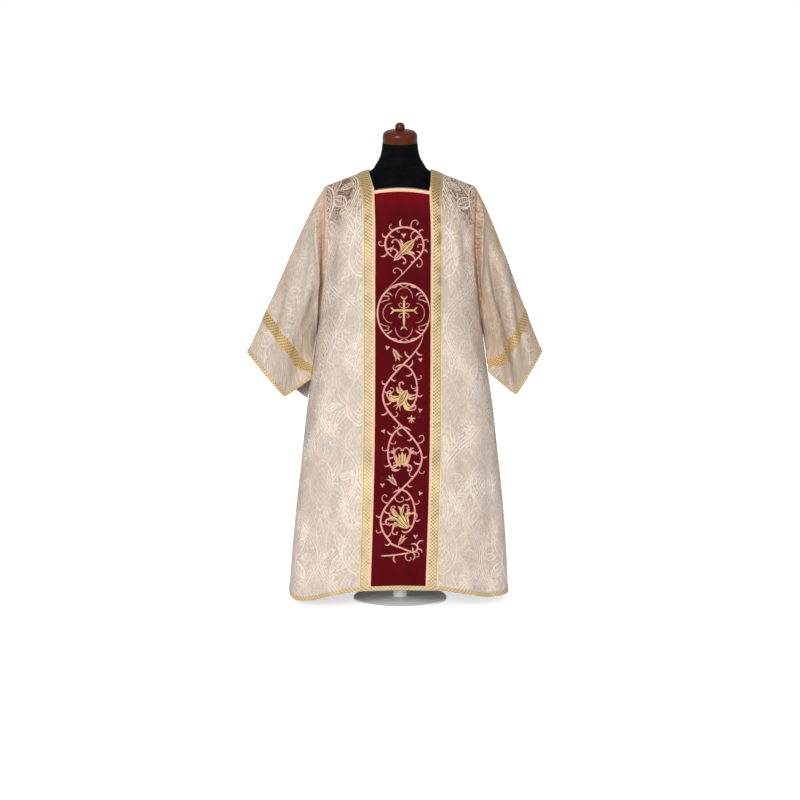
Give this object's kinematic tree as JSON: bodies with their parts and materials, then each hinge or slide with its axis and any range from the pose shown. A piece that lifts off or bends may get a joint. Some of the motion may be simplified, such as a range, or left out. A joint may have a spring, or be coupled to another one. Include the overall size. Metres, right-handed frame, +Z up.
{
  "type": "dalmatic on a dress form",
  "caption": "Cream damask dalmatic with a velvet orphrey, gold galloons and open sleeves, standing on a plain limbless dress form.",
  "frame": {"origin": "middle of the underside of the stand's base, on the floor", "axes": "+Z up, -Y towards whoever faces the front of the garment, +X on that person's right"},
  "size_m": [0.8755, 0.3694, 1.4156],
  "materials": {
    "brocade": "silk damask, cream on a pinkish grey ground, soft sheen",
    "velvet": "dark burgundy velvet, embroidered in the front",
    "gold_braid": "woven gold thread, small lozenge repeat",
    "peach_edging": "peach satin braid",
    "black_jersey": "stretched black jersey",
    "turned_wood": "turned and lacquered, dark reddish brown",
    "white_steel": "white powder coat"
  },
  "bodies": {
    "root": {"front_body": "brocade", "back_body": "brocade", "sleeve_left": "brocade", "sleeve_right": "brocade", "orphrey_front": "velvet", "orphrey_back": "velvet", "galloon_left": "gold_braid", "galloon_right": "gold_braid", "neck_band_front": "peach_edging", "neck_band_back": "peach_edging", "hem_binding_front": "gold_braid", "hem_binding_back": "gold_braid", "cuff_binding_left": "gold_braid", "cuff_binding_right": "gold_braid", "sleeve_band_left": "gold_braid", "sleeve_band_right": "gold_braid", "form_torso": "black_jersey", "form_cap": "turned_wood", "form_knob": "turned_wood", "stand_pole": "white_steel", "stand_base": "white_steel"}
  },
  "joints": []
}
